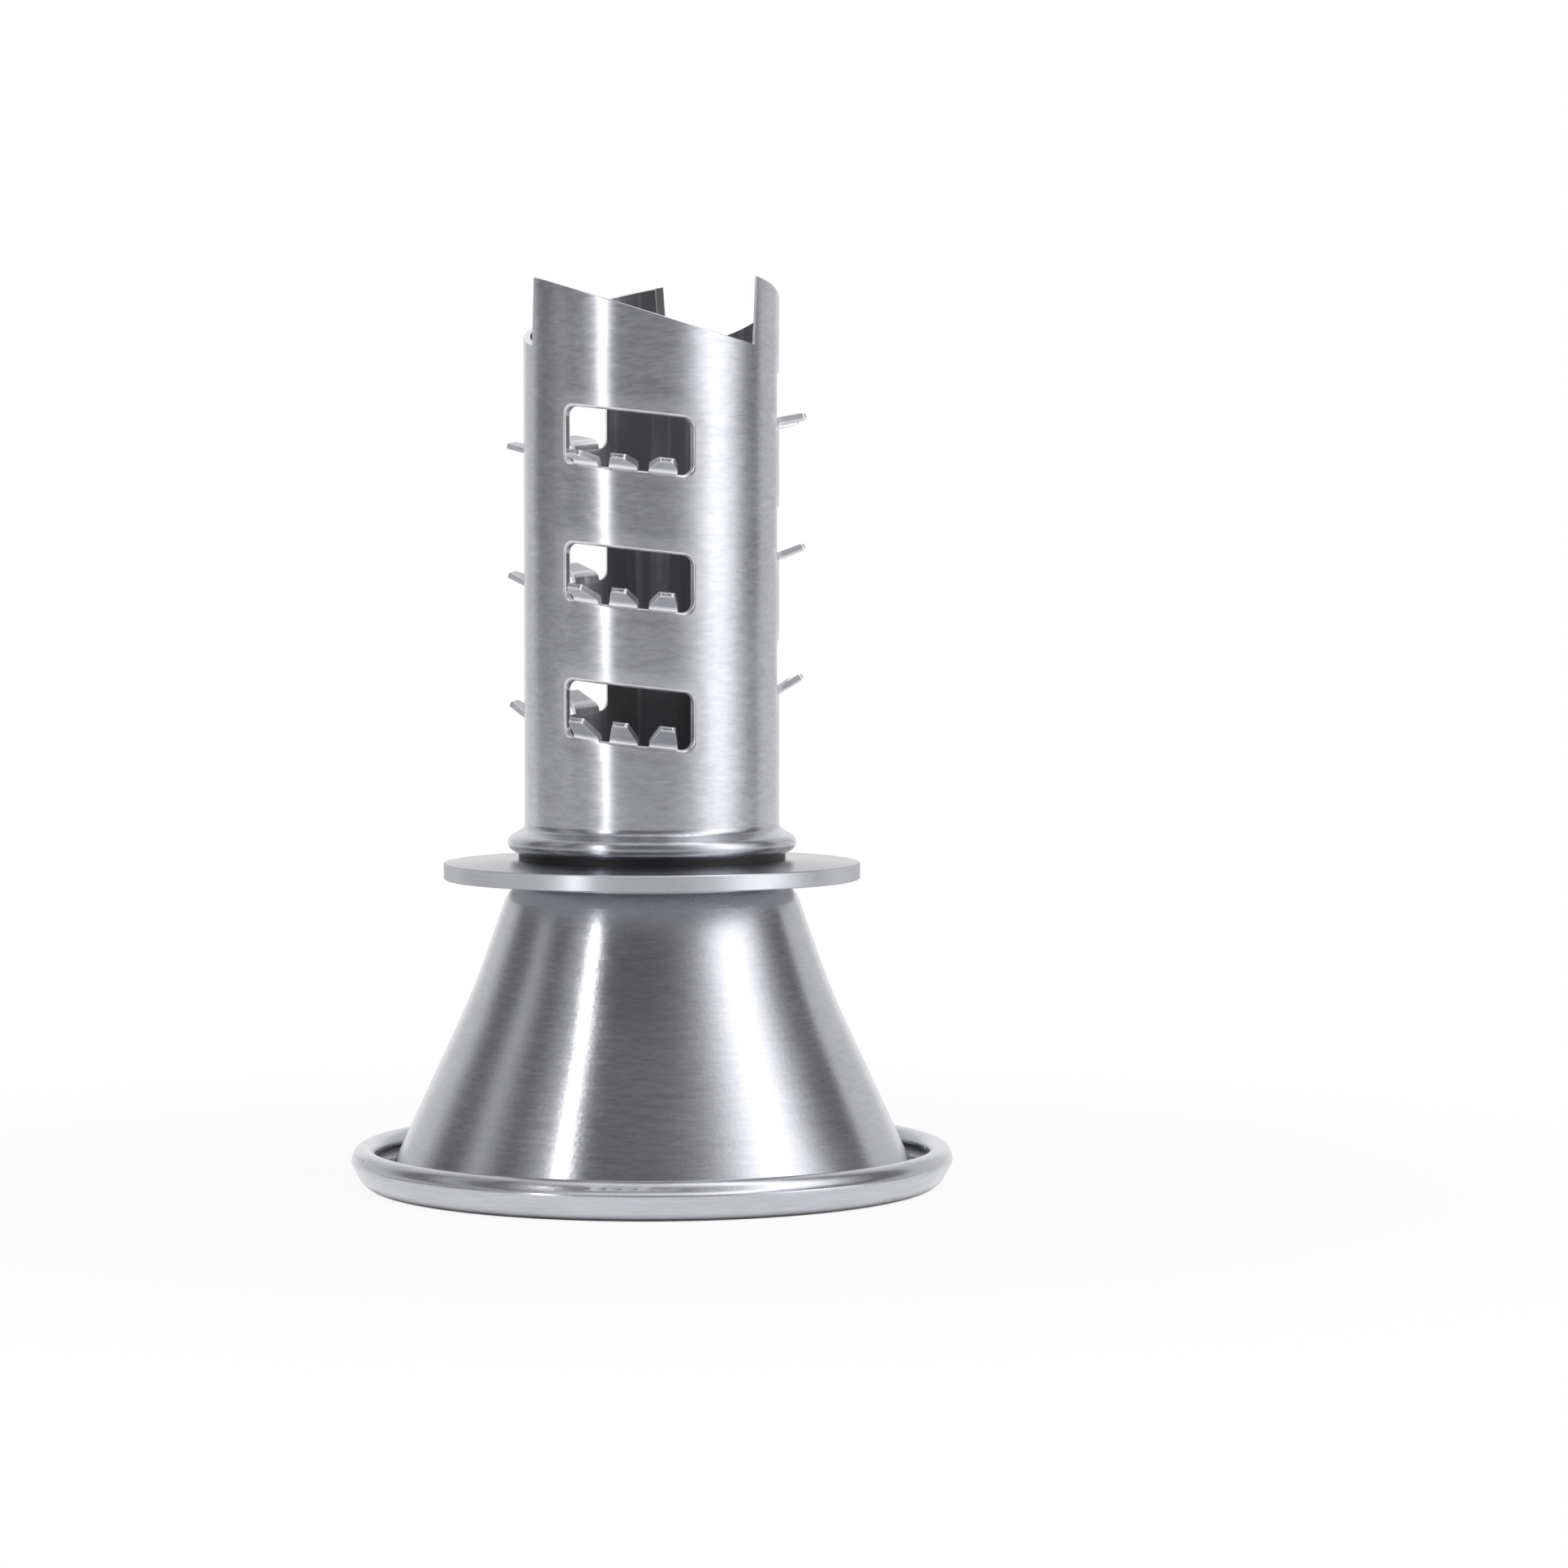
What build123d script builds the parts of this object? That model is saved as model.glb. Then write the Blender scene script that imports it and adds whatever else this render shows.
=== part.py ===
from build123d import *
from math import atan, cos, degrees, hypot, pi, radians, sin, tan
import os

# Screw-in citrus juicer, millimetres, +Z up. The origin is on the axis, on the surface that it stands on.
# A thin coring tube is pushed and turned into the fruit, until the fruit meets the stop disc. Its teeth break the
# flesh, the juice runs in through the windows and down the tube, and leaves through the flared bell, which is also
# the hand grip and the foot. The tube lifts out of the bell's neck sleeve, and the pip strainer out of the tube.
# Azimuths are degrees about +Z. Azimuth 0 faces -Y, where the first column of windows is.

# Coring tube: drawn sheet, with a crown of three ramps, three columns of windows and a rolled bead
tube_diameter = 31.8
tube_wall = 0.8
tube_reach = 72.0           # crown tips above the stop disc
crown_tips = 3
crown_drop = 8.5            # fall of each ramp, from its tip to the foot of the next one
crown_azimuth = 64.0        # azimuth of the first tip, at its foot
crown_relief_angle = 4.0    # lean of each tip's upright edge
crown_bevel = 0.5           # inner bevel that sharpens the upright edge
crown_edge_radius = 0.15    # the sheet's outer edge along each ramp
bead_overhang = 2.1         # how far the bead stands out from the tube
bead_lift = 1.95            # bead's widest circle above the stop disc
bead_slope = 29.0           # of the bead's upper and lower cones, from the horizontal
bead_nose_radius = 0.7      # the bead's bends are measured on the middle of the sheet
bead_root_radius = 1.3
spigot_depth = 13.2         # tube's lower end below the top of the stop disc
lip_reach = 1.6             # turned in at the foot of the tube, to carry the strainer
lip_radius = 1.0

# Windows: parallelograms in the tube wall, whose long edges fall towards a growing azimuth
column_azimuths = (0.0, -116.5, -240.0)
window_rows = 3
window_angle = 60.0         # azimuth that each window spans
window_height = 6.95
window_slope = 6.2
window_corner_radius = 1.2
window_edge_radius = 0.25   # the sheet's outer edge round each window
row_pitch = 16.7
column_rise = 2.4           # each column sits this much higher than the one before it, going clockwise
lowest_row_height = 18.23   # centre of the first column's lowest window above the stop disc

# Teeth: cut from the window's blank and bent outwards on its lower edge
teeth_per_window = 3
tooth_length = 4.3          # along the tooth, from the window's edge
tooth_base = 3.5
tooth_tip = 1.8
tooth_thickness = 0.75
tooth_corner_radius = 0.6   # the tip's corners, as the tooth is seen from outside
tooth_end_radius = 0.34     # the tip's edges, through the sheet
tooth_spacing_angle = 17.75 # azimuth between neighbouring teeth
tooth_offset_angle = -1.2   # azimuth of the middle tooth from the window's centre
tooth_bend_angle = 68.0     # middle row, from the upright
tooth_row_angle = 10.0      # the row above is bent out by this much more, the row below by this much less
tooth_bend_radius = 0.5     # inside of the bend

# Seal ring, which fills the recess under the bead
seal_width = 0.65

# Pip strainer: a perforated pan that hangs on the lip at the tube's foot
strainer_sheet = 0.6
strainer_rim = 1.0          # rests on the lip
strainer_depth = 1.6
strainer_bend_radius = 0.55
strainer_hole = 2.8
strainer_hole_pitch = 5.2
strainer_rings = 2

# Neck sleeve: a turned bush, which the tube drops into
sleeve_wall = 0.8
sleeve_depth = 12.2         # below the top of the stop disc
collar_width = 0.5          # the stop disc stands on this collar
collar_height = 0.35

# Drive key: a peg on the tube's spigot in an open slot of the sleeve, so that the bell can turn the tube
key_diameter = 2.2
key_drop = 6.0              # centre of the key below the top of the stop disc
key_azimuth = 180.0

# Stop disc: flat round the tube, then falling a little to its edge, so that it drains
disc_diameter = 52.0
disc_hub_diameter = 37.0
disc_thickness = 2.6
disc_fall = 0.6
disc_blend_radius = 30.0    # between the flat and the fall
disc_edge_break = 0.12

# Trumpet bell: spun sheet, with a rounded shoulder, a slightly flared skirt and a rim curled up and back
bell_wall = 0.8
bell_height = 37.9          # top of the shoulder above the ground
shoulder_step = 0.77        # from the sleeve to where the shoulder's flat and the upper skirt would meet
shoulder_radius = 3.4
throat_half_angle = 19.3    # upper skirt, from the upright
flare_height = 24.4         # where the upper and the lower skirt would meet
flare_radius = 100.0
rim_diameter = 75.2
rim_height = 3.15           # widest circle above the ground
foot_radius = 33.0          # where the lower skirt would meet the ground, on the middle of the sheet
foot_bend_radius = 0.9
curl_rise_angle = 62.0      # the curl's lower face, from the ground
curl_foot_radius = 1.8      # bends of the curl, on the middle of the sheet
curl_ridge_radius = 0.5
curl_top_radius = 1.05
curl_ridge_angle = 43.0     # how far the sheet turns at the ridge, and then over the top
curl_top_angle = 170.0
curl_side = 0.5             # straight part between the two

# Clearances
running_fit = 0.1           # radial, the spigot in the sleeve and the key in its slot
seal_fit = 0.1              # radial, the seal ring on the spigot
strainer_fit = 0.2          # radial, the strainer's pan in the lip

# Heights that follow
disc_underside = bell_height + collar_height
disc_top = disc_underside + disc_thickness
bead_centre = disc_top + bead_lift
crown_top = disc_top + tube_reach
spigot_end = disc_top - spigot_depth
lip_top = spigot_end + tube_wall

# Radii that follow
tube_radius = tube_diameter / 2
tube_middle = tube_radius - tube_wall / 2
tube_bore = tube_radius - tube_wall
lip_bore = tube_bore - lip_reach
sleeve_bore = tube_radius + running_fit
sleeve_radius = sleeve_bore + sleeve_wall
margin = 1.0                # how far a cutting tool passes the wall that it cuts


def sheet(middle_line, thickness):
    """The section of a sheet, of even thickness about its middle line."""
    sides = [middle_line.offset_2d(thickness / 2, side=side, closed=False) for side in (Side.LEFT, Side.RIGHT)]
    ends = []
    for end in (middle_line @ 0, middle_line @ 1):
        corners = [side.vertices().sort_by_distance(end)[0] for side in sides]
        ends.append(Line(*corners))
    return make_face([*sides, *ends])


def turned(section):
    """A section drawn as (radius, height), revolved about the axis."""
    return revolve(Plane.XZ * section, axis=Axis.Z)


def facing(azimuth):
    """Turns what is modelled on +X to an azimuth."""
    return Rot(0, 0, azimuth - 90)


def bead_underside(radius):
    """Height of the bead's lower cone, on its outer side."""
    run = bead_apex() - radius
    return bead_centre - run * tan(radians(bead_slope)) - tube_wall / 2 / cos(radians(bead_slope))


def bead_apex():
    """Radius where the middle lines of the bead's two cones would meet."""
    nose = tube_middle + bead_overhang
    return nose + bead_nose_radius / sin(radians(bead_slope)) - bead_nose_radius


def tube_blank():
    """The drawn tube with its bead and lip, before anything is cut."""
    half_bead = (bead_apex() - tube_middle) * tan(radians(bead_slope))
    middle_line = FilletPolyline(
        (tube_middle, crown_top),
        (tube_middle, bead_centre + half_bead),
        (bead_apex(), bead_centre),
        (tube_middle, bead_centre - half_bead),
        (tube_middle, spigot_end + tube_wall / 2),
        (lip_bore, spigot_end + tube_wall / 2),
        radius=[bead_root_radius, bead_nose_radius, tube_wall / 2 + seal_fit, lip_radius],
    )
    return turned(sheet(middle_line, tube_wall))


def crown_cutter():
    """What is cut away above one ramp: a plane that falls from the tip on +X to the foot of the next tip."""
    span = 360 / crown_tips
    foot = crown_top - crown_drop
    section = Pos(tube_middle, foot) * Rectangle(tube_wall + 2 * margin, 4 * crown_drop)
    sector = revolve(Plane.XZ * section, axis=Axis.Z, revolution_arc=span + 2 * crown_relief_angle)
    block = 2 * tube_diameter
    tilt = degrees(atan(crown_drop / (tube_diameter * sin(radians(span / 2)))))
    middle = Pos(0, 0, crown_top - crown_drop / 2) * Rot(0, 0, span / 2)
    above_ramp = middle * Rot(-tilt, 0, 0) * Box(block, block, block, align=(Align.CENTER, Align.CENTER, Align.MIN))
    before_tip = Pos(0, 0, foot) * Rot(0, 0, span) * Rot(-crown_relief_angle, 0, 0) * Box(
        block, block, block, align=(Align.CENTER, Align.MAX, Align.CENTER)
    )
    return sector & above_ramp & before_tip


def tip_bevel():
    """The wedge that takes the inner corner off the upright edge of the tip on +X."""
    corner = Polygon((0, 0), (-crown_bevel - margin, 0), (0, -crown_bevel - margin), align=None)
    wedge = extrude(corner, crown_drop + margin)
    upright = Pos(0, 0, crown_top - crown_drop) * Rot(-crown_relief_angle, 0, 0)
    return upright * Pos(tube_bore + crown_bevel, margin, 0) * wedge


def window_cutter():
    """One window's opening, centred on +X at height 0, with radial ends and rounded corners."""
    near = tube_bore - 2 * margin
    far = tube_radius + 2 * margin
    spread = tan(radians(window_angle / 2))
    plan = Polygon((near, -near * spread), (far, -far * spread), (far, far * spread), (near, near * spread), align=None)
    wedge = extrude(plan, tube_diameter / 2, both=True)
    slab = Rot(-window_slope, 0, 0) * Box(4 * tube_diameter, 4 * tube_diameter, window_height)
    opening = wedge & slab
    radial_edges = opening.edges().filter_by(lambda edge: abs((edge % 0.5).X) > 0.5)
    return fillet(radial_edges, window_corner_radius)


def tooth(bend):
    """One tooth on +X, bent out from the upright, with the middle of its root at height 0."""
    bend_middle = tube_wall / 2 + tooth_bend_radius
    root_leg = Line((tube_middle, -margin), (tube_middle, 0))
    root_bend = JernArc(start=root_leg @ 1, tangent=root_leg % 1, radius=bend_middle, arc_size=-bend)
    flank_length = tooth_length - bend_middle * radians(bend)
    flank = Line(root_bend @ 1, root_bend @ 1 + (root_bend % 1) * flank_length)
    strip_section = sheet(Wire([root_leg, root_bend, flank]), tooth_thickness)
    tip_edges = strip_section.vertices().sort_by_distance(flank @ 1)[:2]
    strip_section = fillet(tip_edges, tooth_end_radius)
    base_angle = 2 * tooth_base / tube_radius * 180 / pi
    strip = Rot(0, 0, -base_angle / 2) * revolve(Plane.XZ * strip_section, axis=Axis.Z, revolution_arc=base_angle)

    along = Vector(sin(radians(bend)), 0, cos(radians(bend)))
    across = Vector(0, 1, 0)
    start = root_bend @ 1
    face_plane = Plane(origin=(start.X, 0, start.Y), x_dir=across, z_dir=across.cross(along))
    below = 2 * tooth_length
    half_base = tooth_base / 2
    half_tip = tooth_tip / 2
    blank = Polygon(
        (-half_base, -below), (half_base, -below), (half_base, -bend_middle / 2),
        (half_tip, flank_length), (-half_tip, flank_length), (-half_base, -bend_middle / 2),
        align=None,
    )
    blank = fillet(blank.vertices().sort_by(Axis.Y)[-2:], tooth_corner_radius)
    return strip & extrude(face_plane * blank, tooth_length, both=True)


def outer_edges(tube, lowest, highest):
    """The edges on the tube's outer face whose middles are between two heights."""

    def is_outer(edge):
        middle = edge @ 0.5
        return abs(hypot(middle.X, middle.Y) - tube_radius) < 0.01 and lowest < middle.Z < highest

    return tube.edges().filter_by(is_outer)


def window_edges(tube):
    return outer_edges(tube, disc_top + lowest_row_height - row_pitch / 2, crown_top - crown_drop - margin)


def ramp_edges(tube):
    edges = outer_edges(tube, crown_top - crown_drop, crown_top)
    return edges.filter_by(lambda edge: edge.length > crown_drop + margin)


def window_places():
    """Azimuth, height above the ground and row of each window's centre."""
    for column, azimuth in enumerate(column_azimuths):
        for row in range(window_rows):
            height = disc_top + lowest_row_height + row * row_pitch + column * column_rise
            yield azimuth, height, row


def coring_tube():
    tube = tube_blank()
    for tip in range(crown_tips):
        turn = facing(crown_azimuth + tip * 360 / crown_tips)
        tube -= turn * crown_cutter()
        tube -= turn * tip_bevel()
    tube = fillet(ramp_edges(tube), crown_edge_radius)
    opening = window_cutter()
    for azimuth, height, row in window_places():
        tube -= facing(azimuth) * Pos(0, 0, height) * opening
    tube = fillet(window_edges(tube), window_edge_radius)
    for azimuth, height, row in window_places():
        bent_tooth = tooth(tooth_bend_angle + (row - (window_rows - 1) / 2) * tooth_row_angle)
        for index in range(teeth_per_window):
            offset = tooth_offset_angle + (index - (teeth_per_window - 1) / 2) * tooth_spacing_angle
            fall = tube_radius * sin(radians(offset)) * tan(radians(window_slope))
            root = height - window_height / 2 / cos(radians(window_slope)) - fall
            tube += facing(azimuth + offset) * Pos(0, 0, root) * Rot(-window_slope, 0, 0) * bent_tooth
    key_tip = sleeve_radius - running_fit
    key = Pos(tube_middle, 0, 0) * Rot(0, 90, 0) * Cylinder(
        key_diameter / 2, key_tip - tube_middle, align=(Align.CENTER, Align.CENTER, Align.MIN)
    )
    return tube + facing(key_azimuth) * Pos(0, 0, disc_top - key_drop) * key


def seal_ring():
    inner = tube_radius + seal_fit
    outer = inner + seal_width
    section = Polygon(
        (inner, disc_top), (outer, disc_top), (outer, bead_underside(outer)), (inner, bead_underside(inner)),
        align=None,
    )
    return turned(section)


def pip_strainer():
    """A pan of thin sheet, whose rim lies on the lip and whose wall drops through it."""
    half = strainer_sheet / 2
    pan = lip_bore - strainer_fit - half
    rim_middle = lip_top + half
    floor_middle = rim_middle - strainer_depth
    middle_line = FilletPolyline(
        (lip_bore + strainer_rim, rim_middle), (pan, rim_middle), (pan, floor_middle), (0, floor_middle),
        radius=strainer_bend_radius,
    )
    strainer = turned(sheet(middle_line, strainer_sheet))
    hole = Pos(0, 0, floor_middle) * Cylinder(strainer_hole / 2, 2 * strainer_sheet)
    strainer -= hole
    for ring in range(1, strainer_rings + 1):
        strainer -= PolarLocations(ring * strainer_hole_pitch, 6 * ring) * hole
    return strainer


def neck_sleeve():
    bottom = disc_top - sleeve_depth
    section = Polygon(
        (sleeve_bore, bottom), (sleeve_radius, bottom),
        (sleeve_radius, bell_height), (sleeve_radius + collar_width, bell_height),
        (sleeve_radius + collar_width, disc_underside), (sleeve_radius, disc_underside),
        (sleeve_radius, disc_top), (sleeve_bore, disc_top),
        align=None,
    )
    slot_width = key_diameter + 2 * running_fit
    slot_length = key_drop + margin
    slot = Pos(sleeve_radius, 0, disc_top - key_drop) * (
        Pos(0, 0, slot_length / 2) * Box(4 * sleeve_wall, slot_width, slot_length)
        + Rot(0, 90, 0) * Cylinder(slot_width / 2, 4 * sleeve_wall)
    )
    return turned(section) - facing(key_azimuth) * slot


def stop_disc():
    edge = disc_diameter / 2
    section = Polygon(
        (sleeve_radius, disc_underside), (edge, disc_underside), (edge, disc_top - disc_fall),
        (disc_hub_diameter / 2, disc_top), (sleeve_radius, disc_top),
        align=None,
    )
    section = chamfer(section.vertices().sort_by(Axis.X)[-2:], disc_edge_break)
    hub_edge = section.vertices().sort_by_distance((disc_hub_diameter / 2, disc_top))[0]
    return turned(fillet(hub_edge, disc_blend_radius))


def trumpet_bell():
    half = bell_wall / 2
    throat = radians(throat_half_angle)
    shoulder_middle = sleeve_radius + shoulder_step - half * tan((pi / 2 - throat) / 2)
    flare_middle = shoulder_middle + (bell_height - half - flare_height) * tan(throat)
    rise = radians(curl_rise_angle)
    bends_height = curl_foot_radius * (1 - cos(rise)) + curl_ridge_radius * cos(rise)
    face_length = (rim_height - half - bends_height) / sin(rise)
    bends_width = curl_foot_radius * sin(rise) + curl_ridge_radius * (1 - sin(rise))
    land_end = rim_diameter / 2 - half - bends_width - face_length * cos(rise)
    wall_line = FilletPolyline(
        (sleeve_bore - shoulder_radius, bell_height - half),
        (shoulder_middle, bell_height - half),
        (flare_middle, flare_height),
        (foot_radius, half),
        (land_end, half),
        radius=[shoulder_radius - half, flare_radius, foot_bend_radius],
    )
    bottom = JernArc(start=wall_line @ 1, tangent=(1, 0), radius=curl_foot_radius, arc_size=curl_rise_angle)
    face = Line(bottom @ 1, bottom @ 1 + (bottom % 1) * face_length)
    ridge = JernArc(start=face @ 1, tangent=face % 1, radius=curl_ridge_radius, arc_size=curl_ridge_angle)
    side = Line(ridge @ 1, ridge @ 1 + (ridge % 1) * curl_side)
    top = JernArc(start=side @ 1, tangent=side % 1, radius=curl_top_radius, arc_size=curl_top_angle)
    curl_line = Wire([bottom, face, ridge, side, top])
    bell = turned(sheet(Wire([*wall_line.edges(), *curl_line.edges()]), bell_wall))
    return bell - Cylinder(sleeve_radius, 3 * bell_height)


os.makedirs("parts", exist_ok=True)
for make in (coring_tube, seal_ring, pip_strainer, neck_sleeve, stop_disc, trumpet_bell):
    export_step(make(), f"parts/{make.__name__}.step")
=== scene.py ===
from collections import namedtuple
from math import cos, pi, radians, sin, tan

import bmesh
import bpy
from mathutils import Matrix, Vector


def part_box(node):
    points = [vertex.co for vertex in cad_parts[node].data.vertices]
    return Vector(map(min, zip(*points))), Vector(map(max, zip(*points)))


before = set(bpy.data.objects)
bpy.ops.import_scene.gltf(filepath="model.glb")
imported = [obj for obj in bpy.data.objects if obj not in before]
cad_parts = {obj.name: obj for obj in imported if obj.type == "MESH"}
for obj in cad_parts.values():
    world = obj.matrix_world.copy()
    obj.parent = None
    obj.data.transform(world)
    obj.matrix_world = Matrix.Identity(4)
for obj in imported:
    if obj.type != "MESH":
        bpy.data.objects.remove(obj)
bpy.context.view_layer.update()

# Screw-in citrus juicer, dressed in metres in the frame of its CAD model: +Z up, the axis on Z, the
# foot on z = 0. The pieces keep their CAD shapes. This script gives them their finishes, and makes
# the studio that they stand in. Azimuths are degrees about +Z. Azimuth 0 faces -Y, where the first
# column of windows is.

mm = 0.001
bell_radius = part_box("trumpet_bell")[1].x
disc_low, disc_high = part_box("stop_disc")


# --------------------------------------------------------------------------------------------------
# Node trees
# --------------------------------------------------------------------------------------------------

class Signal:
    """A socket of a node tree that carries a value, with the usual signs of arithmetic."""

    def __init__(self, nodes, socket):
        self.nodes = nodes
        self.socket = socket

    def of(self, output):
        """Another output of the same node."""
        return Signal(self.nodes, self.socket.node.outputs[output])

    def math(self, operation, *others):
        return self.nodes.math(operation, self, *others)

    def at_least(self, low):
        return self.math("MAXIMUM", low)

    def at_most(self, high):
        return self.math("MINIMUM", high)

    def __abs__(self):
        return self.math("ABSOLUTE")

    def __neg__(self):
        return self.math("MULTIPLY", -1.0)

    def __add__(self, other):
        return self.math("ADD", other)

    def __sub__(self, other):
        return self.math("SUBTRACT", other)

    def __mul__(self, other):
        return self.math("MULTIPLY", other)

    def __truediv__(self, other):
        return self.math("DIVIDE", other)

    def __pow__(self, other):
        return self.math("POWER", other)

    def __rsub__(self, other):
        return self.nodes.math("SUBTRACT", other, self)


class Nodes:
    """One node tree, made node by node."""

    def __init__(self, tree):
        self.tree = tree
        tree.nodes.clear()

    def node(self, kind, settings=None, values=None, output=0):
        made = self.tree.nodes.new(kind)
        for name, setting in (settings or {}).items():
            setattr(made, name, setting)
        for name, value in (values or {}).items():
            if isinstance(value, Signal):
                self.tree.links.new(value.socket, made.inputs[name])
            else:
                made.inputs[name].default_value = value
        return Signal(self, made.outputs[output]) if made.outputs else None

    def math(self, operation, *values):
        return self.node("ShaderNodeMath", {"operation": operation}, dict(enumerate(values)))

    def step(self, value, low, high):
        """Rises smoothly from 0 at low to 1 at high."""
        settings = {"interpolation_type": "SMOOTHSTEP"}
        values = {"Value": value, "From Min": low, "From Max": high}
        return self.node("ShaderNodeMapRange", settings, values)

    def vector(self, x, y, z):
        return self.node("ShaderNodeCombineXYZ", None, {"X": x, "Y": y, "Z": z})

    def parts(self, vector):
        x = self.node("ShaderNodeSeparateXYZ", None, {"Vector": vector})
        return x, x.of("Y"), x.of("Z")

    def noise(self, place, scale, detail, roughness=0.5, fourth=None):
        settings = {"noise_dimensions": "4D" if fourth is not None else "3D"}
        values = {"Vector": place, "Scale": scale, "Detail": detail, "Roughness": roughness}
        if fourth is not None:
            values["W"] = fourth
        return self.node("ShaderNodeTexNoise", settings, values)

    def tint(self, share, first, second):
        """Colour that goes from first to second."""
        settings = {"data_type": "RGBA", "clamp_factor": True}
        factor, colour_a, colour_b, mixed = 0, 6, 7, 2
        values = {factor: share, colour_a: first, colour_b: second}
        return self.node("ShaderNodeMix", settings, values, mixed)


def new_material(name):
    material = bpy.data.materials.new(name)
    material.use_nodes = True
    return material, Nodes(material.node_tree)


# --------------------------------------------------------------------------------------------------
# Sizes and values of the finishes
# --------------------------------------------------------------------------------------------------

steel_light = (0.70, 0.71, 0.75, 1)
steel_dark = (0.41, 0.416, 0.44, 1)
steel_bare_and_sheen = (0.86, 0.865, 0.89, 1)     # ground cuts, and the painted sheen round the windows
steel_edge_highlight = (1, 1, 1, 1)           # painted highlight on sharp edges
steel_bore_shade = (0.3, 0.302, 0.317, 1)  # painted shade inside the tube
steel_underside_shade = (0.5, 0.505, 0.525, 1)     # painted shade on the underside of the disc
rubber_dark = (0.008, 0.008, 0.009, 1)
rubber_light = (0.02, 0.02, 0.022, 1)

tube_roughness = 0.3
bell_roughness = 0.26
disc_roughness = 0.17
turned_roughness = 0.35
rubber_roughness = 0.45

# Brushing round the axis: cells to the radian along a scratch, and to the metre across it and in
# the noises
fine_along = 11.0
fine_across = 3000.0
coarse_along = 5.0
coarse_across = 1300.0
scratch_wander = 1.0 * mm
wander_cells = 160.0
cloud_cells = 90.0
scratch_depth = 0.006 * mm
fine_tone = 0.9             # how much each noise changes the colour of the steel
coarse_tone = 0.6
cloud_tone = 0.3
fine_roughness = 0.12       # and its roughness
cloud_roughness = 0.08
brushed_anisotropy = 0.7
along_the_axis = 0.25       # turn of the anisotropy, which spreads a highlight across the scratches

# Slight unevenness of the drawn walls
swell_along = 1.2
swell_across = 45.0
swell_depth = 0.3 * mm

# How far a turned wall's facing leans to one side: up to the first by its facets, past the second
# really
facet_lean = 0.06
true_lean = 0.15

# Windows of the coring tube, round which the press has burnished the sheet; the lighter colour
# there is a painted sheen
column_azimuths = (0.0, -116.5, -240.0)
window_rows = 3
window_half_angle = radians(30.0)
window_half_height = 3.5 * mm
window_corner = 1.2 * mm
window_slope = radians(6.2)
row_pitch = 16.7 * mm
column_rise = 2.4 * mm
lowest_row = 59.08 * mm     # centre of the first column's lowest window above the ground
burnish_width = 2.4 * mm    # the shallow dent round each window
burnish_depth = 0.05 * mm
# Painted sheen: how much lighter the dent round each window is tinted
window_painted_sheen = 0.3
roll_width = 0.4 * mm       # and the rolled edge of the window itself
roll_depth = 0.12 * mm

# Cuts and teeth of the coring tube, which are all above this height
cuts_level = 50 * mm
cuts_blend = 1 * mm
cut_roughness = 0.15
cut_facing = 0.75           # how far a face looks away from the axis or to it: up to this on a cut,
wall_facing = 0.95          # and past this on the wall
tooth_root = 16.0 * mm      # how far from the axis the teeth leave the wall
tooth_blend = 0.4 * mm
tooth_sheen = 0.9           # how much of the sheet's own finish the teeth keep
edge_highlight_reach = 0.25 * mm       # how far the painted highlight of the sharp edges reaches
edge_samples = 8
edge_highlight_start = 0.01           # turn of the facing, as 1 less a cosine, where the painted highlight starts
edge_highlight_full = 0.1             # and where it is full

# Inside of the coring tube, darkened by painted shade that lifts in patches drawn out up and down
bore_radius = 15.25 * mm
bore_blend = 0.15 * mm
bore_roughness = 0.12
patch_along = 12.0
patch_across = 30.0
patch_low = 0.5            # of the patches' noise: full painted shade below it, and lifted past the next one
patch_high = 0.72
patch_lift = 0.6

# The drawn tube's wall is a little out of true towards the crown, round this azimuth
twist_azimuth = -10.4
twist_level = 60.0 * mm
twist_rate = 0.008

# Front of the bell's rolled rim, which is pressed flatter above its ridge
rim_ridge = 3.38 * mm
rim_crest = 4.7 * mm
rim_inner = 35 * mm
rim_outer = 36 * mm
rim_flattening = 0.36 * mm
rim_curve = 3.0             # how the flattening grows from the crest to the ridge
peen_cells = 1700.0
peen_depth = 0.006 * mm
bell_streak = 0.6           # how strongly the bell's brushing shows, against the tube's

# Stop disc: polished on top, turned on its edge with a painted sheen, and rougher with painted
# shade underneath
disc_light = 0.8
disc_glancing = 0.7         # strength of its reflections at a glancing angle
disc_edge = 0.25 * mm
disc_edge_blend = 0.2 * mm
disc_edge_roughness = 0.2
disc_edge_painted_sheen = 0.6
disc_under = 0.05 * mm
disc_under_blend = 0.1 * mm
disc_under_roughness = 0.3

rubber_cells = 2500.0
rubber_depth = 0.004 * mm
rubber_variation = 0.15


# --------------------------------------------------------------------------------------------------
# Finishes
# --------------------------------------------------------------------------------------------------

Place = namedtuple("Place", "point east north radius height")
least_radius = 0.1 * mm     # closer to the axis there is no direction round it
noise_middle = 0.5


def around_axis(nodes):
    """Place on a piece: the point, its direction from the axis, and its distance and height."""
    point = nodes.node("ShaderNodeTexCoord", output="Object")
    x, y, height = nodes.parts(point)
    radius = (x * x + y * y).math("SQRT").at_least(least_radius)
    return Place(point, x / radius, y / radius, radius, height)


def scratches(nodes, along, across):
    """Slightly wavy noise drawn out round the axis."""
    at = around_axis(nodes)
    wave = (nodes.noise(at.point, wander_cells, detail=1.0) - noise_middle) * scratch_wander
    spot = nodes.vector(at.east * along, at.north * along, (at.height + wave) * across)
    return nodes.noise(spot, 1.0, detail=2.0, roughness=0.6, fourth=(at.radius + wave) * across)


def bump(nodes, height, depth, normal=None):
    """Relief on a surface; depth is what a height of 1 stands for."""
    values = {"Strength": 1.0, "Distance": depth, "Height": height}
    if normal is not None:
        values["Normal"] = normal
    return nodes.node("ShaderNodeBump", None, values)


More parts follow.
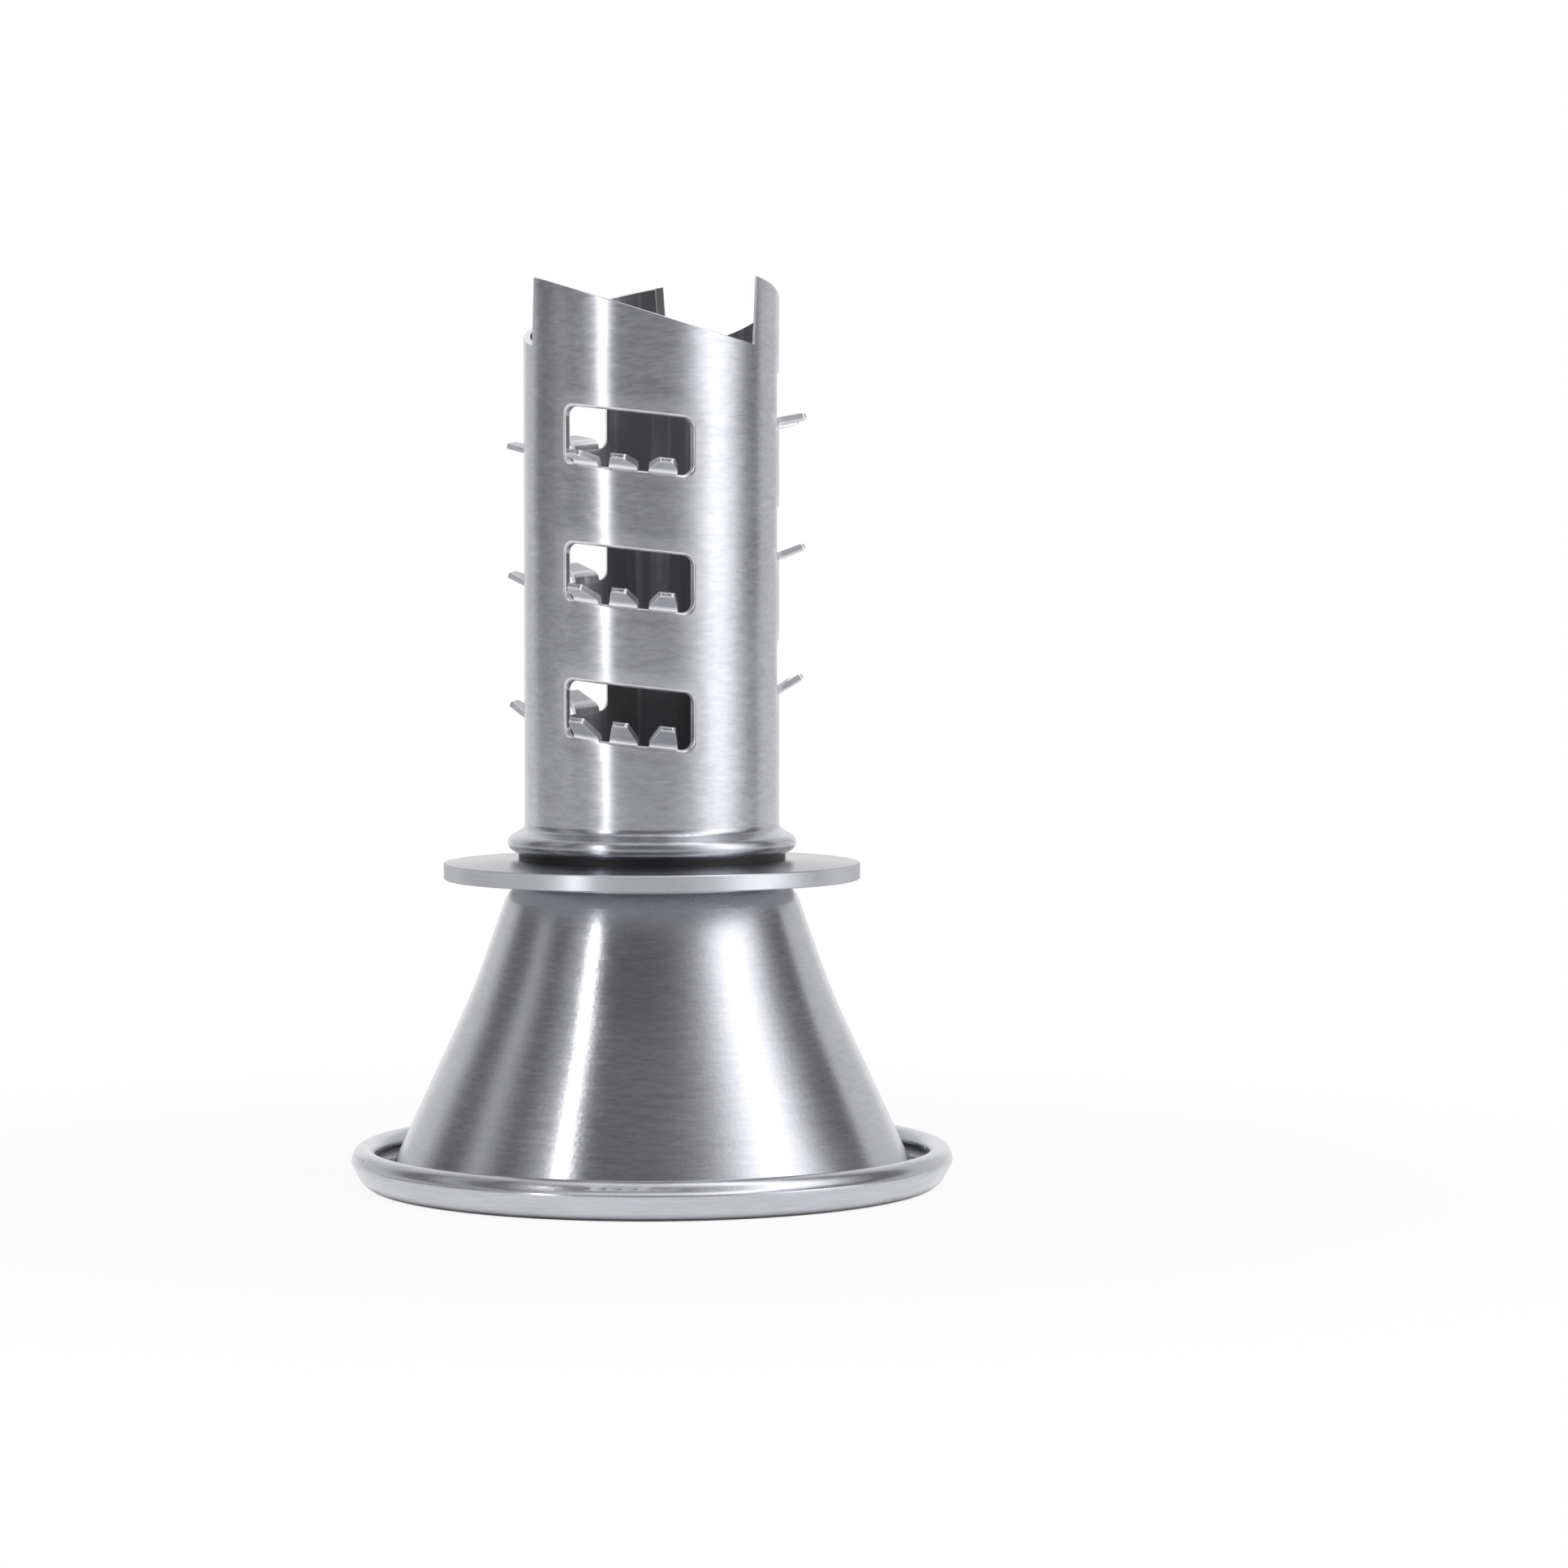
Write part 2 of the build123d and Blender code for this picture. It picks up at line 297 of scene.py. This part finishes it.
def from_windows(nodes):
    """Distance on the coring tube from the nearest window's edge."""
    at = around_axis(nodes)
    nearest = None
    for column, azimuth in enumerate(column_azimuths):
        centre = radians(azimuth - 90)
        ahead = at.east * cos(centre) + at.north * sin(centre)
        aside = at.north * cos(centre) - at.east * sin(centre)
        angle = aside.math("ARCTAN2", ahead)
        rise = at.height + aside * at.radius * tan(window_slope)
        rise = rise - (lowest_row + column * column_rise)
        row = (rise / row_pitch).math("ROUND").at_least(0.0).at_most(window_rows - 1.0)
        beside = (abs(angle) - window_half_angle) * at.radius
        above = abs(rise - row * row_pitch) - window_half_height
        out_beside = (beside + window_corner).at_least(0.0)
        out_above = (above + window_corner).at_least(0.0)
        distance = (out_beside * out_beside + out_above * out_above).math("SQRT")
        nearest = distance if nearest is None else nearest.at_most(distance)
    return (nearest - window_corner).at_least(0.0)


def surface_facing(nodes):
    return nodes.node("ShaderNodeNewGeometry", output="Normal")


def cut_face(nodes):
    """1 on the faces of the tube that leave its round: cut edges, window edges and teeth."""
    at = around_axis(nodes)
    x, y, z = nodes.parts(surface_facing(nodes))
    return 1.0 - nodes.step(abs(x * at.east + y * at.north), cut_facing, wall_facing)


def painted_edge_highlight(nodes):
    """1 on the sharp edges of the sheet, which a painted highlight makes bright."""
    softened = nodes.node("ShaderNodeBevel", {"samples": edge_samples}, {"Radius": edge_highlight_reach})
    settings = {"operation": "DOT_PRODUCT"}
    facings = {0: softened, 1: surface_facing(nodes)}
    likeness = nodes.node("ShaderNodeVectorMath", settings, facings, output="Value")
    return nodes.step(1.0 - likeness, edge_highlight_start, edge_highlight_full)


def turned_normal(nodes):
    """Facing of a wall that was turned round the axis, without the lean that its facets give it."""
    at = around_axis(nodes)
    x, y, z = nodes.parts(surface_facing(nodes))
    lean = y * at.east - x * at.north
    lean = lean * (1.0 - nodes.step(abs(lean), facet_lean, true_lean))
    facing = nodes.vector(x + lean * at.north, y - lean * at.east, z)
    return nodes.node("ShaderNodeVectorMath", {"operation": "NORMALIZE"}, {0: facing})


def steel(nodes, colour, roughness, normal, glancing=1.0):
    shader = nodes.node("ShaderNodeBsdfPrincipled", None, {
        "Base Color": colour, "Metallic": 1.0, "Roughness": roughness, "Normal": normal,
        "Anisotropic": brushed_anisotropy, "Anisotropic Rotation": along_the_axis,
        "Specular Tint": (glancing, glancing, glancing, 1),
    })
    nodes.node("ShaderNodeOutputMaterial", None, {"Surface": shader})


def brushing(nodes, streak=1.0, light=1.0):
    """Scratches of brushed steel as a relief, their colour, and how they change its roughness."""
    fine = scratches(nodes, fine_along, fine_across) - noise_middle
    coarse = scratches(nodes, coarse_along, coarse_across) - noise_middle
    cloud = nodes.noise(around_axis(nodes).point, cloud_cells, detail=2.0) - noise_middle
    tone = fine * (fine_tone * streak) + coarse * (coarse_tone * streak) + cloud * cloud_tone
    colour = nodes.tint(tone + 0.5 * light, steel_dark, steel_light)
    return fine, colour, fine * fine_roughness + cloud * cloud_roughness


def swell(nodes):
    """Slight unevenness of a drawn wall, which makes straight reflections wander."""
    at = around_axis(nodes)
    spot = nodes.vector(at.east * swell_along, at.north * swell_along, at.height * swell_across)
    return bump(nodes, nodes.noise(spot, 1.0, detail=1.0), swell_depth, turned_normal(nodes))


def tube_steel(name):
    """Brushed, burnished round the windows, bare on cuts, with painted sheen, edge highlights and
    bore shade.
    """
    material, nodes = new_material(name)
    at = around_axis(nodes)
    relief, colour, rough = brushing(nodes)
    distance = from_windows(nodes)
    dent = nodes.step(distance, 0.0, burnish_width)
    roll = 1.0 - (distance / roll_width).at_most(1.0)
    twist_centre = radians(twist_azimuth - 90)
    aside = at.north * cos(twist_centre) - at.east * sin(twist_centre)

    normal = swell(nodes)
    normal = bump(nodes, (at.height - twist_level) * aside, -twist_rate, normal)
    normal = bump(nodes, dent, burnish_depth, normal)
    normal = bump(nodes, 1.0 - roll * roll, roll_depth, normal)
    normal = bump(nodes, relief, scratch_depth, normal)

    among_cuts = nodes.step(at.height, cuts_level, cuts_level + cuts_blend)
    cut = cut_face(nodes) * among_cuts
    tooth = nodes.step(at.radius, tooth_root, tooth_root + tooth_blend) * among_cuts
    wall = 1.0 - tooth * tooth_sheen
    # Painted sheen: the dent round each window and its rolled edge are tinted lighter
    colour = nodes.tint(((1.0 - dent) * window_painted_sheen + roll) * wall, colour, steel_bare_and_sheen)
    colour = nodes.tint(cut * wall, colour, steel_bare_and_sheen)
    # Painted highlight: the sharp edges among the cuts are tinted white
    colour = nodes.tint(painted_edge_highlight(nodes) * among_cuts, colour, steel_edge_highlight)

    # Painted shade: the bore is tinted darker, less where the patches lift it
    inside = (1.0 - nodes.step(at.radius, bore_radius, bore_radius + bore_blend)) * (1.0 - cut)
    spot = nodes.vector(at.east * patch_along, at.north * patch_along, at.height * patch_across)
    lifted = nodes.step(nodes.noise(spot, 1.0, detail=3.0), patch_low, patch_high)
    colour = nodes.tint(inside * (1.0 - lifted * patch_lift), colour, steel_bore_shade)
    rough = rough + inside * bore_roughness + cut * cut_roughness + tube_roughness
    steel(nodes, colour, rough, normal)
    return material


def bell_steel(name):
    """Brushed and slightly peened, with the front of its rim pressed flatter."""
    material, nodes = new_material(name)
    at = around_axis(nodes)
    relief, colour, rough = brushing(nodes, streak=bell_streak)
    below_crest = ((rim_crest - at.height) / (rim_crest - rim_ridge)).at_least(0.0).at_most(1.0)
    face = below_crest * nodes.step(at.radius, rim_inner, rim_outer)
    normal = swell(nodes)
    normal = bump(nodes, face ** rim_curve, rim_flattening, normal)
    normal = bump(nodes, nodes.noise(at.point, peen_cells, detail=1.0), peen_depth, normal)
    normal = bump(nodes, relief, scratch_depth, normal)
    steel(nodes, colour, rough + bell_roughness, normal)
    return material


def disc_steel(name):
    material, nodes = new_material(name)
    at = around_axis(nodes)
    relief, colour, rough = brushing(nodes, light=disc_light)
    normal = bump(nodes, relief, scratch_depth, turned_normal(nodes))
    edge_start = disc_high.x - disc_edge
    edge = nodes.step(at.radius, edge_start, edge_start + disc_edge_blend)
    under_end = disc_low.z + disc_under
    underside = 1.0 - nodes.step(at.height, under_end, under_end + disc_under_blend)
    # Painted sheen: the turned edge is tinted lighter
    colour = nodes.tint(edge * disc_edge_painted_sheen, colour, steel_light)
    # Painted shade: the underside is tinted darker, besides being rougher
    colour = nodes.tint(underside, colour, steel_underside_shade)
    rough = rough + edge * disc_edge_roughness + underside * disc_under_roughness + disc_roughness
    steel(nodes, colour, rough, normal, disc_glancing)
    return material


def turned_steel(name):
    material, nodes = new_material(name)
    relief, colour, rough = brushing(nodes)
    steel(nodes, colour, rough + turned_roughness, bump(nodes, relief, scratch_depth))
    return material


def black_rubber(name):
    material, nodes = new_material(name)
    speck = nodes.noise(around_axis(nodes).point, rubber_cells, detail=2.0)
    shader = nodes.node("ShaderNodeBsdfPrincipled", None, {
        "Base Color": nodes.tint(speck, rubber_dark, rubber_light),
        "Roughness": speck * rubber_variation + rubber_roughness,
        "Normal": bump(nodes, speck, rubber_depth),
    })
    nodes.node("ShaderNodeOutputMaterial", None, {"Surface": shader})
    return material


def dress(node, material):
    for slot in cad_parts[node].material_slots:
        slot.material = material


dress("coring_tube", tube_steel("tube_steel_brushed"))
dress("trumpet_bell", bell_steel("bell_steel_brushed"))
dress("stop_disc", disc_steel("disc_steel_turned"))
dress("neck_sleeve", turned_steel("sleeve_steel_turned"))
dress("pip_strainer", turned_steel("strainer_steel"))
dress("seal_ring", black_rubber("seal_rubber_black"))


# --------------------------------------------------------------------------------------------------
# Camera
# --------------------------------------------------------------------------------------------------

sensor_width = 36.0         # this and the lens in millimetres, as Blender takes them
lens_length = 109.30
camera_azimuth = radians(11.6)
camera_distance = 594.24 * mm
camera_height = 78.7 * mm
camera_yaw = radians(1.5892)
camera_pitch = radians(2.7650)

right = Vector((cos(camera_azimuth), sin(camera_azimuth), 0))
away = Vector((-sin(camera_azimuth), cos(camera_azimuth), 0))
up = Vector((0, 0, 1))


def place_camera():
    level_sight = right * sin(camera_yaw) + away * cos(camera_yaw)
    sight = level_sight * cos(camera_pitch) - up * sin(camera_pitch)
    data = bpy.data.cameras.new("camera")
    data.sensor_width = sensor_width
    data.lens = lens_length
    data.clip_start = 10 * mm
    camera = bpy.data.objects.new("camera", data)
    camera.location = up * camera_height - away * camera_distance
    camera.rotation_euler = sight.to_track_quat("-Z", "Y").to_euler()
    bpy.context.scene.collection.objects.link(camera)
    bpy.context.scene.camera = camera


# --------------------------------------------------------------------------------------------------
# Studio. Its angles are degrees from the camera's side, seen from above, and grow towards the right
# --------------------------------------------------------------------------------------------------

floor_radius = 0.65
floor_sides = 96
paper_white = (0.85, 0.85, 0.85, 1)
plain_white = (1, 1, 1, 1)
floor_shade = 0.08          # how much of its own light and shadow the floor shows near the foot
floor_shade_radius = 0.16
contact_radius = 35.8 * mm  # where the foot's own shade on the floor ends
contact_blend = 1 * mm
mirrored_radius = 37.2 * mm # and where it ends in the steel's reflection of the floor
mirrored_blend = 2 * mm

room_tone = 0.2             # the unlit room, which the steel shows as its darker bands
room_tone_high = 0.15
overhead_light = 1.1
backdrop_tone = 0.75        # white backdrop behind the part, which the steel shows near its sides
backdrop_middle_tone = 0.25
backdrop_slant = 0.5        # of the backdrop's right edge

# Soft edges in the room, each from where a light or a tone starts to where it is full: elevations
# in degrees
room_fade = (0, 35)
panel_heights = (10, 30)
low_left_panel = 0.2        # share of the far left panel's light that is left below those
least_level = 0.001         # closer to straight up there is no angle
overhead_edge = (60, 82)
# and angles
backdrop_right_edge = (108, 114)
backdrop_left_edge = (114, 136)
backdrop_middle_edge = (148, 165)


def from_camera_side(angle):
    return right * sin(radians(angle)) - away * cos(radians(angle))


def outwards(angle):
    """Level direction across the one at an angle, away from the camera's side."""
    return from_camera_side(angle + (90 if angle > 0 else -90))


def strip_light(name, angle, distance, width, height, lean, radiance):
    """A narrow upright light, which leans outwards."""
    data = bpy.data.lights.new(name, "AREA")
    data.shape = "RECTANGLE"
    data.size = width
    data.size_y = height
    data.energy = radiance * pi * width * height
    side = from_camera_side(angle)
    rise = (up + outwards(angle) * lean).normalized()
    lamp = bpy.data.objects.new(name, data)
    lamp.location = side * distance + rise * height / 2
    lamp.rotation_euler = Matrix((rise.cross(side), rise, side)).transposed().to_euler()
    lamp.visible_camera = False
    bpy.context.scene.collection.objects.link(lamp)


def mirrored_ray(camera_ray):
    """1 for what the steel mirrors, from the Light Path node that tells the camera's own rays."""
    return camera_ray.of("Is Glossy Ray").at_least(camera_ray.of("Is Transmission Ray"))


def build_world():
    """White to the camera and behind the part, and a dim room with soft panels of light."""
    world = bpy.data.worlds.new("studio")
    bpy.context.scene.world = world
    world.use_nodes = True
    nodes = Nodes(world.node_tree)
    x, y, z = nodes.parts(nodes.node("ShaderNodeTexCoord", output="Generated"))
    turn = (x * right.x + y * right.y).math("ARCTAN2", -(x * away.x + y * away.y))

    def above(edge):
        return nodes.step(z, *[sin(radians(elevation)) for elevation in edge])

    def beyond(edge, angle):
        return nodes.step(angle, *[radians(limit) for limit in edge])

    def panel(angle, spread, lean, strength):
        """A panel whose light falls off softly to both sides, to six tenths where spread says."""
        centre = from_camera_side(angle)
        across = outwards(angle)
        u = x - z * (across.x * lean)
        v = y - z * (across.y * lean)
        level = (u * u + v * v).math("SQRT").at_least(least_level)
        towards = (u * centre.x + v * centre.y) / level
        return towards.at_least(0.0) ** (1 / radians(spread) ** 2) * strength

    backdrop = beyond(backdrop_right_edge, turn - z * backdrop_slant)
    backdrop = (backdrop + beyond(backdrop_left_edge, -turn)) * backdrop_tone
    backdrop = backdrop + beyond(backdrop_middle_edge, abs(turn)) * backdrop_middle_tone
    high = above(panel_heights)
    room = above(room_fade) * (room_tone_high - room_tone) + room_tone
    room = room + above(overhead_edge) * overhead_light
    room = room + panel(angle=62, spread=15.5, lean=0.14, strength=2.0)
    room = room + panel(angle=38, spread=18, lean=0.14, strength=0.27) * high
    room = room + panel(angle=-50, spread=6.5, lean=0.25, strength=0.3)
    high = high * (1 - low_left_panel) + low_left_panel
    room = room + panel(angle=-85, spread=6.5, lean=0.3, strength=0.55) * high

    camera_ray = nodes.node("ShaderNodeLightPath", output="Is Camera Ray")
    mirrored = mirrored_ray(camera_ray)
    strength = camera_ray.at_least(mirrored * backdrop.at_least(room) + (1.0 - mirrored) * room)
    values = {"Color": plain_white, "Strength": strength}
    background = nodes.node("ShaderNodeBackground", None, values)
    nodes.node("ShaderNodeOutputWorld", None, {"Surface": background})


def floor_paper(name):
    """White paper, which shows its own light and shadow only near the foot."""
    material, nodes = new_material(name)
    radius = around_axis(nodes).radius
    camera_ray = nodes.node("ShaderNodeLightPath", output="Is Camera Ray")
    white = nodes.node("ShaderNodeEmission", None, {"Color": plain_white, "Strength": 1.0})
    paper = nodes.node("ShaderNodeBsdfDiffuse", None, {"Color": paper_white})
    shade = (1.0 - nodes.step(radius, bell_radius, floor_shade_radius)) * floor_shade
    contact = 1.0 - nodes.step(radius, contact_radius - contact_blend, contact_radius)
    contact_mirrored = 1.0 - nodes.step(radius, mirrored_radius - mirrored_blend, mirrored_radius)
    seen = camera_ray * (1.0 - shade.at_least(contact))
    met = mirrored_ray(camera_ray) * (1.0 - shade.at_least(contact_mirrored))
    mixed = nodes.node("ShaderNodeMixShader", None, {0: seen + met, 1: paper, 2: white})
    nodes.node("ShaderNodeOutputMaterial", None, {"Surface": mixed})
    return material


def build_floor():
    mesh = bpy.data.meshes.new("floor")
    disc = bmesh.new()
    bmesh.ops.create_circle(disc, cap_ends=True, radius=floor_radius, segments=floor_sides)
    disc.to_mesh(mesh)
    disc.free()
    mesh.materials.append(floor_paper("floor_white"))
    floor = bpy.data.objects.new("floor", mesh)
    bpy.context.scene.collection.objects.link(floor)


place_camera()
build_world()
build_floor()
strip_light(
    "strip_light_left", angle=-40.5, distance=1.2, width=0.105, height=1.5, lean=0.18, radiance=7.0)

bpy.context.scene.view_settings.view_transform = "Standard"
